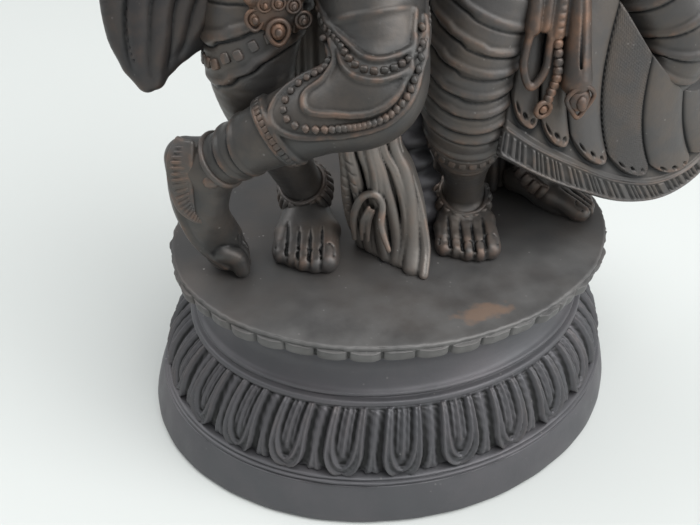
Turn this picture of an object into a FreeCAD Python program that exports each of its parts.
"""A cast devotional group: a dancing elephant-headed deity and a consort on an oval lotus base.

Frame: millimetres, +Z up, origin on the floor under the centre of the base, figures facing -Y.
Every casting is one named piece, and each piece is cut to meet the pieces that it is fitted to.
"""
import FreeCAD, Part
import math
import os

V = FreeCAD.Vector

# ---- Base: driving sizes -------------------------------------------------------------------
FOOT_A, FOOT_B = 85.0, 70.0          # half length and half depth of the plinth at the floor
SHOULDER_A, SHOULDER_B = 80.4, 66.3  # the same at the moulding above the plinth band
PLINTH_H = 17.5                      # height of the plain plinth band
LOTUS_A, LOTUS_B = 68.0, 56.2        # top of the petal ring
LOTUS_H = 22.0                       # height of the petal ring
NECK_WAIST_IN = 5.0                  # how far the neck curves in below the slab's outline
NECK_H = 21.5                        # height of the plain neck
SLAB_A, SLAB_B = 75.0, 60.0          # half length and half depth of the slab
SLAB_T = 5.8                         # thickness of the slab
SCALLOP_COUNT = 46                   # tabs around the slab's lower edge
SCALLOP_DEPTH = 1.3                  # how far each tab bulges
SCALLOP_T = 3.2                      # thickness of the tabbed edge
WALL = 4.0                           # wall of every ring casting
REBATE_H = 2.5                       # height of the spigot that locates each ring in the next
REBATE_GAP = 0.15                    # clearance round each spigot
SLAB_Z = PLINTH_H + LOTUS_H + NECK_H + SLAB_T

# ---- Base: fixings -------------------------------------------------------------------------
PLATE_T = 6.0                        # closing plate let flush into the underside of the plinth
PLATE_GAP = 0.15                     # clearance round the plate
LEDGE_IN, LEDGE_H = 4.0, 4.0         # ledge inside the plinth that the plate bears on
TIE_END_GAP = 5.5                    # from the tie bosses to the inside of the slab's spigot
TIE_R, TIE_NUT_R, TIE_NUT_T = 2.5, 4.4, 3.0
NUT_RECESS_GAP = 0.6                 # room round and under each tie nut in the plate
BOSS_R, BOSS_H = 5.0, 8.0            # threaded bosses under the slab
STUD_R = 2.0                         # studs cast into the feet
STUD_GAP = 0.1                       # radial clearance of each stud in the slab
STUD_TAIL = 9.0                      # length of each stud below the slab
WASHER_R, WASHER_T = 5.0, 1.0
NUT_R, NUT_T = 4.0, 3.2

# ---- Figures: proportions, measured up from the slab -----------------------------------------
KNEE_H = 64.0
HIP_H = 106.0
WAIST_H = HIP_H + 16.0
SHOULDER_H = WAIST_H + 36.0
HEAD_H = SHOULDER_H + 28.0
CROWN_H = HEAD_H + 10.0
CROWN_TOP = CROWN_H + 40.0
CONSORT_HEAD_H = SHOULDER_H + 22.0
CONSORT_CROWN_TOP = CONSORT_HEAD_H + 40.0
DEITY_X, CONSORT_X = -22.0, 40.0     # centre lines of the two figures


def at(x, y, height):
    """A point given by its height above the slab."""
    return V(x, y, SLAB_Z + height)


def oval(a, b, z):
    """A closed oval wire, a long along X and b deep along Y."""
    edge = Part.Ellipse(V(0, 0, z), a, b).toShape()
    return Part.Wire([edge])


def oval_stack(levels):
    """A solid through ovals, each given as (half length, half depth, height)."""
    return Part.makeLoft([oval(*level) for level in levels], True, False)


def oval_plate(a, b, z, height):
    """A flat oval plate."""
    return Part.Face(oval(a, b, z)).extrude(V(0, 0, height))


def section(centre, tangent, side, half_width, half_depth):
    """A closed elliptical wire across a limb."""
    t = V(tangent).normalize()
    s = side - t * side.dot(t)
    s.normalize()
    u = t.cross(s)
    curve = Part.Circle(V(0, 0, 0), V(0, 0, 1), 1.0).toBSpline()
    for i, pole in enumerate(curve.getPoles(), 1):
        curve.setPole(i, centre + s * (pole.x * half_width) + u * (pole.y * half_depth))
    return Part.Wire([curve.toShape()])


def smooth(rows):
    """Rows of numbers with one more row eased in between each neighbouring pair."""
    last = len(rows) - 1
    dense = [rows[0]]
    for i in range(last):
        before, p, q, after = rows[max(i - 1, 0)], rows[i], rows[i + 1], rows[min(i + 2, last)]
        dense.append([(9 * (u + v) - (w + x)) / 16 for w, u, v, x in zip(before, p, q, after)])
        dense.append(q)
    return dense


def limb(points, radii, side=V(1, 0, 0)):
    """A solid through sections; each radius is a number or (half width, half depth)."""
    halves = [r if isinstance(r, tuple) else (r, r) for r in radii]
    rows = smooth([[p.x, p.y, p.z, *r] for p, r in zip(points, halves)])
    centres = [V(*row[:3]) for row in rows]
    last = len(rows) - 1
    wires = []
    for i, row in enumerate(rows):
        tangent = centres[min(i + 1, last)] - centres[max(i - 1, 0)]
        wires.append(section(centres[i], tangent, side, row[3], row[4]))
    return Part.makeLoft(wires, True, True)


def pad(points, radii, side=V(1, 0, 0)):
    """A limb whose ends are rounded off by a small closing section."""
    first = points[0] + (points[0] - points[1]).normalize() * (min_radius(radii[0]) * 0.6)
    final = points[-1] + (points[-1] - points[-2]).normalize() * (min_radius(radii[-1]) * 0.6)
    return limb([first] + points + [final],
                [scaled(radii[0], 0.45)] + radii + [scaled(radii[-1], 0.45)], side)


def min_radius(r):
    """The smaller half size of a section."""
    return min(r) if isinstance(r, tuple) else r


def scaled(r, factor):
    """A section's half sizes times a factor."""
    return tuple(x * factor for x in r) if isinstance(r, tuple) else r * factor


def blob(centre, rx, ry, rz):
    """An ellipsoid."""
    matrix = FreeCAD.Matrix()
    matrix.scale(rx, ry, rz)
    matrix.move(centre)
    return Part.makeSphere(1.0).transformGeometry(matrix)


def rod(base, radius, height, direction=V(0, 0, 1)):
    """A round bar."""
    return Part.makeCylinder(radius, height, base, direction)


def hexagon(centre, radius, height):
    """A hexagonal nut blank standing up from its centre point."""
    corners = [centre + V(radius * math.cos(math.pi * i / 3), radius * math.sin(math.pi * i / 3), 0)
               for i in range(7)]
    return Part.Face(Part.makePolygon(corners)).extrude(V(0, 0, height))


def ribbon(rows, half_thickness):
    """A swept sheet of cloth as a solid; each row is the (top, hem) of the sheet there."""
    flat = smooth([[*top, *hem] for top, hem in rows])
    tops = [V(*row[:3]) for row in flat]
    hems = [V(*row[3:]) for row in flat]
    last = len(flat) - 1
    wires = []
    for i in range(last + 1):
        centre = (tops[i] + hems[i]) * 0.5
        ahead = tops[min(i + 1, last)] + hems[min(i + 1, last)]
        tangent = ahead - tops[max(i - 1, 0)] - hems[max(i - 1, 0)]
        across = hems[i] - tops[i]
        wires.append(section(centre, tangent, across, across.Length / 2, half_thickness))
    return Part.makeLoft(wires, True, True)


# ---- Base castings ---------------------------------------------------------------------------
def bore_size():
    """Half sizes of the plinth's inside."""
    return SHOULDER_A - WALL - 2, SHOULDER_B - WALL - 2


def plinth_band():
    """The plain band that stands on the floor, with a ledge inside it for the closing plate."""
    outer = oval_stack([(FOOT_A, FOOT_B, 0),
                        (FOOT_A - 1.0, FOOT_B - 0.8, PLINTH_H * 0.5),
                        (SHOULDER_A, SHOULDER_B, PLINTH_H)])
    a, b = bore_size()
    body = outer.cut(oval_plate(a, b, -1, PLATE_T + 1))
    body = body.cut(oval_plate(a - LEDGE_IN, b - LEDGE_IN, PLATE_T - 1, PLINTH_H))
    return body.cut(oval_plate(a, b, PLATE_T + LEDGE_H, PLINTH_H))


def lotus_profile():
    """Half sizes and heights of the petal ring's cushion outline."""
    z0 = PLINTH_H
    return [(SHOULDER_A - 1.0, SHOULDER_B - 1.0, z0),
            (SHOULDER_A - 0.6, SHOULDER_B - 0.6, z0 + LOTUS_H * 0.25),
            (SHOULDER_A - 3.8, SHOULDER_B - 3.4, z0 + LOTUS_H * 0.62),
            (LOTUS_A + 2.6, LOTUS_B + 2.4, z0 + LOTUS_H * 0.9),
            (LOTUS_A, LOTUS_B, z0 + LOTUS_H)]


def lotus_ring():
    """The cushion ring that carries the petals; its spigot drops into the plinth."""
    outer = oval_stack(lotus_profile())
    spigot_a, spigot_b = (half - REBATE_GAP for half in bore_size())
    body = outer.fuse(oval_plate(spigot_a, spigot_b, PLINTH_H - REBATE_H, REBATE_H + 1))
    body = body.cut(oval_plate(spigot_a - WALL, spigot_b - WALL, PLINTH_H - REBATE_H - 1,
                               REBATE_H + 1 + LOTUS_H * 0.5))
    return body.cut(oval_plate(LOTUS_A - 2 * WALL, LOTUS_B - 2 * WALL, PLINTH_H, LOTUS_H + 2))


def neck_drum():
    """The plain hollow-sided drum between the petals and the slab."""
    z0 = PLINTH_H + LOTUS_H
    bottom_a, bottom_b = LOTUS_A - 1.5, LOTUS_B - 1.5
    waist_a, waist_b = SLAB_A - NECK_WAIST_IN - 6, SLAB_B - NECK_WAIST_IN - 6
    outer = oval_stack([(bottom_a, bottom_b, z0),
                        (waist_a, waist_b, z0 + NECK_H * 0.45),
                        (waist_a + 1.5, waist_b + 1.5, z0 + NECK_H * 0.8),
                        (waist_a + 4.0, waist_b + 4.0, z0 + NECK_H)])
    spigot_a = LOTUS_A - 2 * WALL - REBATE_GAP
    spigot_b = LOTUS_B - 2 * WALL - REBATE_GAP
    body = outer.fuse(oval_plate(spigot_a, spigot_b, z0 - REBATE_H, REBATE_H + 1))
    return body.cut(oval_plate(spigot_a - WALL, spigot_b - WALL, z0 - REBATE_H - 1,
                               NECK_H + REBATE_H + 2))


def scalloped_edge(z, height):
    """An oval plate whose rim is a row of small outward tabs."""
    def rim(i, extra):
        a = 2 * math.pi * i / SCALLOP_COUNT
        return V((SLAB_A + extra) * math.cos(a), (SLAB_B + extra) * math.sin(a), z)
    edges = []
    for i in range(SCALLOP_COUNT):
        start, end = rim(i, -SCALLOP_DEPTH), rim(i + 1, -SCALLOP_DEPTH)
        edges.append(Part.Arc(start, rim(i + 0.5, 0), end).toShape())
    return Part.Face(Part.Wire(edges)).extrude(V(0, 0, height))


def stud_points():
    """Where the figures' studs pass through the slab."""
    return list(FOOT_POINTS.values())


def slab_spigot():
    """Outside half sizes of the spigot that locates the slab in the drum."""
    return LOTUS_A - 3 * WALL - 2 * REBATE_GAP, LOTUS_B - 3 * WALL - 2 * REBATE_GAP


def tie_points():
    """The two tie rods, either side of the centre."""
    x = slab_spigot()[0] - WALL - TIE_END_GAP
    return [V(-x, 0, 0), V(x, 0, 0)]


def top_slab():
    """The slab that the figures stand on, with bosses and a locating spigot underneath."""
    z0 = SLAB_Z - SLAB_T
    body = scalloped_edge(z0, SCALLOP_T)
    body = body.fuse(oval_plate(SLAB_A - 0.6, SLAB_B - 0.6, z0 + SCALLOP_T, SLAB_T - SCALLOP_T))
    inner_a, inner_b = slab_spigot()
    spigot = oval_plate(inner_a, inner_b, z0 - REBATE_H, REBATE_H)
    spigot = spigot.cut(oval_plate(inner_a - WALL, inner_b - WALL, z0 - REBATE_H - 1, REBATE_H + 2))
    body = body.fuse(spigot)
    for p in tie_points():
        body = body.fuse(rod(V(p.x, p.y, z0 - BOSS_H), BOSS_R, BOSS_H + 1))
        body = body.cut(rod(V(p.x, p.y, z0 - BOSS_H - 1), TIE_R, BOSS_H + 2))
    for p in stud_points():
        body = body.cut(rod(V(p.x, p.y, z0 - 1), STUD_R + STUD_GAP, SLAB_T + 2))
    return body


def bottom_plate():
    """The closing plate, with a recess for each tie nut."""
    a, b = bore_size()
    plate = oval_plate(a - PLATE_GAP, b - PLATE_GAP, 0, PLATE_T)
    for p in tie_points():
        plate = plate.cut(rod(V(p.x, p.y, -1), TIE_R + STUD_GAP, PLATE_T + 2))
        plate = plate.cut(rod(V(p.x, p.y, -1), TIE_NUT_R + NUT_RECESS_GAP,
                              TIE_NUT_T + NUT_RECESS_GAP + 1))
    return plate


def tie_rods():
    """Two threaded rods from the slab's bosses down through the closing plate."""
    top = SLAB_Z - SLAB_T
    low = NUT_RECESS_GAP
    return Part.makeCompound([rod(V(p.x, p.y, low), TIE_R, top - low) for p in tie_points()])


def tie_nuts():
    """The nuts that tighten on the tie rods."""
    z = NUT_RECESS_GAP
    return Part.makeCompound([hexagon(V(p.x, p.y, z), TIE_NUT_R, TIE_NUT_T)
                              .cut(rod(V(p.x, p.y, z - 1), TIE_R, TIE_NUT_T + 2))
                              for p in tie_points()])


def stud_hardware():
    """Studs, washers and nuts that hold the figures to the slab."""
    z0 = SLAB_Z - SLAB_T
    studs, washers, nuts = [], [], []
    for p in stud_points():
        studs.append(rod(V(p.x, p.y, z0 - STUD_TAIL), STUD_R, STUD_TAIL + SLAB_T))
        hole = rod(V(p.x, p.y, z0 - STUD_TAIL), STUD_R, STUD_TAIL)
        washers.append(rod(V(p.x, p.y, z0 - WASHER_T), WASHER_R, WASHER_T).cut(hole))
        nuts.append(hexagon(V(p.x, p.y, z0 - WASHER_T - NUT_T), NUT_R, NUT_T).cut(hole))
    return {"foot_studs": Part.makeCompound(studs), "stud_washers": Part.makeCompound(washers),
            "stud_nuts": Part.makeCompound(nuts)}


# ---- Joints of the two bodies ------------------------------------------------------------------
D = {  # the deity: standing right leg, crossed left leg
    "hip_r": at(DEITY_X - 12, 4, HIP_H), "knee_r": at(-46, -4, KNEE_H + 2), "ankle_r": at(-28, 8, 12),
    "heel_r": at(-24, 14, 4), "toe_r": at(-35, -15, 2.6),
    "hip_l": at(DEITY_X + 10, -2, HIP_H), "knee_l": at(-21, -31, KNEE_H + 6), "ankle_l": at(-61, -12, 41),
    "heel_l": at(-67, -8, 42), "ball_l": at(-60, -6, 9.5), "toe_l": at(-55, -7, 2.6),
    "pelvis": at(DEITY_X, 2, HIP_H + 4), "waist": at(DEITY_X, 2, WAIST_H),
    "chest": at(DEITY_X, 4, SHOULDER_H - 8), "neck": at(DEITY_X, 2, SHOULDER_H + 10),
    "head": at(DEITY_X + 1, -3, HEAD_H),
}
C = {  # the consort: straight right leg, bent left leg
    "hip_r": at(CONSORT_X - 10, 0, HIP_H), "knee_r": at(13, -14, KNEE_H), "ankle_r": at(21, -7, 12),
    "heel_r": at(24, 4, 4), "toe_r": at(14, -25, 2.6),
    "hip_l": at(CONSORT_X + 10, 0, HIP_H), "knee_l": at(79, -17, KNEE_H), "ankle_l": at(54, -3, 11),
    "heel_l": at(49, 4, 4), "toe_l": at(65, -17, 2.6),
    "pelvis": at(CONSORT_X, 2, HIP_H + 2), "waist": at(CONSORT_X + 3, 3, WAIST_H + 4),
    "chest": at(CONSORT_X + 5, 3, SHOULDER_H - 11), "neck": at(CONSORT_X + 6, 2, SHOULDER_H + 7),
    "head": at(CONSORT_X + 6, -1, CONSORT_HEAD_H),
}
FOOT_POINTS = {"deity_foot": D["ankle_r"] * 0.6 + D["toe_r"] * 0.4, "deity_drape": at(-10, -18, 0),
               "consort_foot": C["ankle_r"] * 0.6 + C["toe_r"] * 0.4, "consort_drape": at(40, 9, 0)}


def hung(x, y, drop):
    """A point on cloth or jewellery that hangs from the hips."""
    return at(x, y, HIP_H - drop)


def fallen(x, y, share):
    """A point on cloth that falls from the hips to the slab; the share is 1 at the hips."""
    return at(x, y, HIP_H * share)


def mid(a, b, share=0.5, push=V(0, 0, 0)):
    """A point part of the way from a to b, pushed aside."""
    return a + (b - a) * share + push


# ---- Limbs ---------------------------------------------------------------------------------------
def above_slab(shape):
    """The part of a shape that stands on or over the slab."""
    return shape.common(Part.makeBox(400, 400, 400, V(-200, -200, SLAB_Z)))


def leg(hip, knee, ankle, thigh_r, knee_r, calf_r, ankle_r):
    """Thigh, knee and shin as one casting that holds at any bend of the knee."""
    calf_push = V(0, 3, 0)
    thigh = limb([hip, mid(hip, knee, 0.5), knee], [thigh_r, thigh_r * 0.95, knee_r])
    shin = limb([knee, mid(knee, ankle, 0.35, calf_push), mid(knee, ankle, 0.75), ankle],
                [knee_r * 0.96, calf_r, (calf_r + ankle_r) / 2.2, ankle_r])
    shape = thigh.fuse(blob(knee, knee_r * 1.03, knee_r * 1.03, knee_r * 1.03)).fuse(shin)
    return shape.fuse(blob(hip, thigh_r, thigh_r, thigh_r))


def foot(heel, toe, ankle, half_width):
    """A flat foot with a rounded heel and a spread of toes."""
    line = toe - heel
    side = V(-line.y, line.x, 0)
    points = [heel, mid(heel, toe, 0.3, V(0, 0, 2.5)), mid(heel, toe, 0.7, V(0, 0, 1.2)), toe]
    sole = pad(points, [(half_width * 0.62, 4.6), (half_width * 0.72, 6.2),
                        (half_width * 0.98, 4.2), (half_width * 0.92, 2.6)], side)
    shank = limb([ankle + V(0, 0, 3), mid(ankle, heel, 0.5), heel + V(0, 0, 1)],
                 [5.6, 5.4, 4.6])
    return sole.fuse(shank)


def standing_leg(joints, thigh_r, half_foot):
    """A leg that stands flat on the slab."""
    shape = leg(joints["hip_r"], joints["knee_r"], joints["ankle_r"], thigh_r, 12.0, 9.6, 5.8)
    return above_slab(shape.fuse(foot(joints["heel_r"], joints["toe_r"], joints["ankle_r"], half_foot)))


def crossed_leg():
    """The deity's left leg, crossed in front and standing on its toes."""
    upper = leg(D["hip_l"], D["knee_l"], D["ankle_l"], 14.5, 12.8, 9.8, 7.0)
    sole = pad([D["heel_l"], mid(D["heel_l"], D["ball_l"], 0.5, V(-2, 0, 0)), D["ball_l"], D["toe_l"]],
               [(7.0, 6.0), (7.5, 6.0), (8.5, 4.6), (7.5, 3.4)], V(0.6, -0.8, 0))
    joint = blob(mid(D["ankle_l"], D["heel_l"]), 8.5, 8.5, 8.5)
    return above_slab(upper.fuse(joint).fuse(sole))


def bent_leg():
    """The consort's left leg, knee turned out, foot flat under the hem."""
    shape = leg(C["hip_l"], C["knee_l"], C["ankle_l"], 13.0, 11.5, 9.5, 5.6)
    return above_slab(shape.fuse(foot(C["heel_l"], C["toe_l"], C["ankle_l"], 6.5)))


def arm(shoulder, elbow, wrist, hand, r, side=V(1, 0, 0)):
    """Upper arm, forearm and a closed hand as one casting."""
    shape = limb([shoulder, mid(shoulder, elbow), elbow, mid(elbow, wrist), wrist],
                 [r, r * 0.92, r * 0.8, r * 0.78, r * 0.55], side)
    shape = shape.fuse(blob(shoulder, r * 1.15, r * 1.15, r * 1.15))
    return shape.fuse(blob(mid(wrist, hand), r * 0.75, r * 0.6, r * 1.0))


# ---- The deity -------------------------------------------------------------------------------------
def deity_parts():
    """The elephant-headed figure, from the pelvis outward."""
    x = DEITY_X
    parts = {}
    parts["deity_hips"] = pad([D["pelvis"] - V(0, 0, 9), D["pelvis"], D["waist"]],
                              [(19, 14), (22, 16), (19, 15)])
    torso = limb([D["waist"] - V(0, 0, 2), at(x, -4, WAIST_H + 11), at(x, 1, WAIST_H + 24), D["chest"],
                  D["neck"] - V(0, 0, 3)],
                 [(18, 15), (23.5, 20), (20.5, 15), (20, 13), (9, 9)])
    parts["deity_torso"] = torso
    parts["deity_head"] = blob(D["head"], 17, 17, 17.5)
    root = D["head"] + V(0, -15, -5)
    parts["deity_trunk"] = limb([root, root + V(1, -6, -11), root + V(4, -9, -23), root + V(13, -12, -33),
                                 root + V(20, -13, -26)], [8.2, 6.6, 5.4, 4.2, 3.0])
    for side, name in ((-1, "right"), (1, "left")):
        root = D["head"] + V(13.0 * side, 2, 1)
        parts[f"deity_ear_{name}"] = pad([root, root + V(9 * side, 2, -1), root + V(17 * side, 4, -4)],
                                         [(2.2, 9), (2.6, 15), (2.2, 12)], V(0.25 * side, 1, 0))
    tusks = []
    for side, length in ((-1, 12.0), (1, 6.0)):
        base = D["head"] + V(7.5 * side, -14, -7)
        tusks.append(Part.makeCone(2.0, 0.8, length, base, V(0.35 * side, -0.8, -0.35)))
    parts["deity_tusks"] = Part.makeCompound(tusks)
    crown = limb([at(x + 1, -1, CROWN_H), at(x + 1, 0, CROWN_H + 8), at(x + 1, 1, CROWN_H + 22),
                  at(x + 1, 1, CROWN_TOP - 6), at(x + 1, 1, CROWN_TOP)], [15, 14, 10.5, 5.5, 2.0])
    parts["deity_crown"] = crown
    shoulder_r, shoulder_l = at(x - 20, 4, SHOULDER_H - 5), at(x + 20, 4, SHOULDER_H - 5)
    parts["deity_arm_blessing"] = arm(shoulder_r, shoulder_r + V(-9, -7, -20),
                                      shoulder_r + V(-8, -24, -11), shoulder_r + V(-8, -27, 1), 7.0)
    parts["deity_arm_sweet"] = arm(shoulder_l, shoulder_l + V(5, -10, -20),
                                   shoulder_l + V(1, -28, -20), shoulder_l + V(-1, -35, -20), 7.0)
    back_r, back_l = shoulder_r + V(2, 5, 1), shoulder_l + V(-2, 5, 1)
    parts["deity_arm_axe"] = arm(back_r, back_r + V(-20, 4, 0), back_r + V(-23, 0, 20),
                                 back_r + V(-23, -1, 26), 6.4, V(0, 1, 0))
    parts["deity_arm_noose"] = arm(back_l, back_l + V(14, 8, 2), back_l + V(11, 8, 24),
                                   back_l + V(11, 8, 31), 6.4, V(0, 1, 0))
    hand = back_r + V(-23, -0.5, 23)
    shaft = rod(hand - V(0, 0, 14), 1.5, 46)
    blade = Part.makeBox(15, 2.4, 13, hand + V(-15, -1.2, 17))
    blade = blade.cut(rod(hand + V(-8, -3, 13), 5, 6, V(0, 1, 0))).cut(rod(hand + V(-8, -3, 34), 5, 6,
                                                                          V(0, 1, 0)))
    parts["deity_axe"] = shaft.fuse(blade)
    hand = back_l + V(11, 8, 30)
    parts["deity_lotus"] = rod(hand - V(0, 0, 6), 1.4, 14).fuse(blob(hand + V(0, 0, 12), 6.5, 6.5, 7.5))
    hand = shoulder_l + V(-1, -33, -16)
    parts["deity_sweet"] = blob(hand + V(-1, -3, 8), 5.2, 5.2, 5.6)
    parts["deity_belt"] = limb([D["pelvis"] + V(0, 0, 3), D["waist"] - V(0, 0, 3)], [(23.4, 17.6), (20.5, 16.8)])
    parts["deity_tassel"] = pad([hung(x - 18, -14, 2), hung(x - 19.5, -16, 14), hung(x - 20, -17, 26)],
                                [(7, 2.8), (8, 3.2), (6, 2.6)])
    parts["deity_necklace"] = limb([D["neck"] - V(0, 0, 9), D["neck"] - V(0, 0, 5)], [(15.5, 13.5), (12.2, 11.6)])
    anklet_r = rod(D["ankle_r"] - V(0, 0, 1.5), 8.0, 5.5)
    anklet_l = limb([mid(D["ankle_l"], D["knee_l"], 0.02), mid(D["ankle_l"], D["knee_l"], 0.14)], [9.6, 9.6])
    parts["deity_anklets"] = Part.makeCompound([anklet_r, anklet_l])
    parts["deity_side_sash"] = pad([hung(x - 25, 6, 2), hung(x - 39, 4, 6), hung(x - 48.5, 2, 19),
                                    hung(x - 50.5, 0, 32), hung(x - 50, -1, 44)],
                                   [(5, 5), (8, 5), (10, 4.5), (9, 4), (5, 3)])
    parts["deity_front_drape"] = above_slab(
        pad([mid(D["hip_l"], D["knee_l"], 0.35), fallen(x + 9, -12, 0.66), fallen(x + 7, -13.5, 0.425),
             fallen(x + 11, -15, 0.25), fallen(x + 13, -17, 0.1), fallen(x + 13.5, -19.5, 0.01)],
            [(7, 4), (8.5, 5), (10, 5.5), (11.5, 6), (12.5, 7.5), (12.5, 10)], V(1, 0, 0)))
    return parts


# ---- The consort ------------------------------------------------------------------------------------
def consort_parts():
    """The dancing consort, from the pelvis outward."""
    x = CONSORT_X
    parts = {}
    parts["consort_hips"] = pad([C["pelvis"] - V(0, 0, 9), C["pelvis"] + V(0, 0, 2), C["waist"]],
                                [(17.5, 13), (18.5, 13.5), (11.5, 9.5)])
    parts["consort_torso"] = limb([C["waist"], mid(C["waist"], C["chest"], 0.5), C["chest"],
                                   C["chest"] + V(0, 0, 10), C["neck"] - V(0, 0, 3), C["neck"] + V(0, -1, 6)],
                                  [(10.8, 8.8), (12.5, 10), (15.5, 11.5), (15, 8.5), (6, 5.5), (5.2, 5.2)])
    parts["consort_head"] = blob(C["head"], 10.5, 11.5, 13.5)
    parts["consort_hair_bun"] = blob(C["head"] + V(0, 12.5, 3), 8.5, 7.5, 8.5)
    top = C["head"]
    crown_h = CONSORT_CROWN_TOP - CONSORT_HEAD_H
    parts["consort_crown"] = limb([top + V(0, 0, 8), top + V(0, 0.5, 14), top + V(0, 1, crown_h * 0.7),
                                   top + V(0, 1, crown_h)], [11.5, 10.5, 6.5, 1.8])
    shoulder_r, shoulder_l = at(x - 9, 4, SHOULDER_H - 2), at(x + 19, 4, SHOULDER_H - 2)
    parts["consort_arm_right"] = arm(shoulder_r, shoulder_r + V(-7, -4, -22),
                                     shoulder_r + V(3, -17, -14), shoulder_r + V(5, -22, -6), 5.6)
    parts["consort_arm_left"] = arm(shoulder_l, shoulder_l + V(21, -2, -9),
                                    shoulder_l + V(27, -8, 12), shoulder_l + V(29, -10, 22), 5.6, V(0, 1, 0))
    hand = shoulder_r + V(4, -20, -8)
    parts["consort_lotus_bud"] = rod(hand - V(0, 0, 4), 1.2, 12).fuse(blob(hand + V(0, -1, 12), 4.2, 4.2, 6))
    parts["consort_belt"] = limb([C["pelvis"] + V(0, 0, 3), C["pelvis"] + V(0.5, 0, 9)], [(20.2, 15.4), (19, 14.6)])
    parts["consort_pendant"] = pad([hung(x - 9, -17, 2), hung(x - 8, -23, 22), hung(x - 4, -28, 40),
                                    hung(x - 3, -31, 50)],
                                   [(7, 2.6), (8, 2.6), (7, 2.6), (4, 2.4)])
    parts["consort_necklace"] = limb([C["neck"] - V(0, 0, 8), C["neck"] - V(0, 0, 4)], [(10, 8.5), (7.6, 7)])
    parts["consort_anklets"] = Part.makeCompound([
        rod(C["ankle_r"] - V(0, 0, 4.5), 8.2, 5.5), rod(C["ankle_l"] - V(0, 0, 3.5), 7.6, 5)])
    parts["consort_skirt_fan"] = ribbon([
        (hung(x - 12, -16, 14), hung(x - 22, -26, 64)),
        (hung(x - 6, -20, 14), hung(x - 8, -31, 73)),
        (hung(x + 4, -22, 22), hung(x + 10, -33, 84)),
        (hung(x + 18, -27, 34), hung(x + 26, -32, 92)),
        (hung(x + 32, -28, 52), hung(x + 43, -30, 93)),
        (hung(x + 48, -22, 57), hung(x + 57, -26, 86)),
        (hung(x + 61, -16, 53), hung(x + 66, -21, 70)),
        (hung(x + 67, -14, 51), hung(x + 70, -17, 60))], 3.0)
    parts["consort_back_drape"] = above_slab(
        pad([fallen(x - 4, 13, 0.906), fallen(x - 4, 14, 0.566), fallen(x - 2, 11, 0.236), fallen(x, 9, 0.01)],
            [(13, 4), (15, 5), (20, 5), (23, 5)]))
    parts["support_web"] = above_slab(
        pad([fallen(2, -2, 0.83), fallen(1, -2, 0.472), fallen(4, -4, 0.208), fallen(6, -6, 0.01)],
            [(5, 3), (6, 3), (8, 4), (10, 5)]))
    return parts


# ---- Assembly ------------------------------------------------------------------------------------------
CUT_ORDER = [
    "deity_standing_leg", "deity_crossed_leg", "consort_straight_leg", "consort_bent_leg",
    "deity_hips", "consort_hips", "deity_torso", "consort_torso", "deity_head", "consort_head",
    "deity_trunk", "deity_ear_right", "deity_ear_left", "deity_tusks", "consort_hair_bun",
    "deity_crown", "consort_crown", "deity_arm_blessing", "deity_arm_sweet", "deity_arm_axe",
    "deity_arm_noose", "consort_arm_right", "consort_arm_left", "deity_axe", "deity_lotus",
    "deity_sweet", "consort_lotus_bud", "deity_anklets", "consort_anklets", "deity_belt",
    "consort_belt", "deity_necklace", "consort_necklace", "deity_front_drape", "deity_side_sash",
    "deity_tassel", "consort_skirt_fan", "consort_pendant", "support_web", "consort_back_drape",
]
CRUMB = 0.04  # pieces of a casting under this share of it are flash from fitting, and are trimmed off


def near(a, b):
    """Whether two shapes' boxes touch."""
    return a.BoundBox.intersect(b.BoundBox)


def fitted(shape, others):
    """A casting cut back to meet the castings that are already in place."""
    for other in others:
        if near(shape, other):
            shape = shape.cut(other)
    solids = sorted(shape.Solids, key=lambda s: -s.Volume)
    kept = [s for s in solids if s.Volume > CRUMB * solids[0].Volume]
    return kept[0] if len(kept) == 1 else Part.makeCompound(kept)


def base_parts():
    """Every piece of the base and its fixings."""
    parts = {"plinth_band": plinth_band(), "lotus_ring": lotus_ring(), "neck_drum": neck_drum(),
             "top_slab": top_slab(), "bottom_plate": bottom_plate(), "tie_rods": tie_rods(),
             "tie_nuts": tie_nuts()}
    parts.update(stud_hardware())
    return parts


def figure_parts():
    """Every piece of the two figures, fitted to its neighbours."""
    raw = {"deity_standing_leg": standing_leg(D, 15.0, 8.4), "deity_crossed_leg": crossed_leg(),
           "consort_straight_leg": standing_leg(C, 13.5, 8.4), "consort_bent_leg": bent_leg()}
    raw.update(deity_parts())
    raw.update(consort_parts())
    done = {}
    for i, name in enumerate(CUT_ORDER):
        done[name] = fitted(raw[name], [raw[earlier] for earlier in CUT_ORDER[:i]])
    return done


def main():
    """Builds every piece and writes one STEP each."""
    os.makedirs("parts", exist_ok=True)
    parts = base_parts()
    parts.update(figure_parts())
    for name, shape in parts.items():
        shape.exportStep(f"parts/{name}.step")
        box = shape.BoundBox
        print(f"{name}: {len(shape.Solids)} solid, {shape.Volume / 1000:.1f} cm3, valid {shape.isValid()},"
              f" z {box.ZMin:.1f} to {box.ZMax:.1f}")


main()
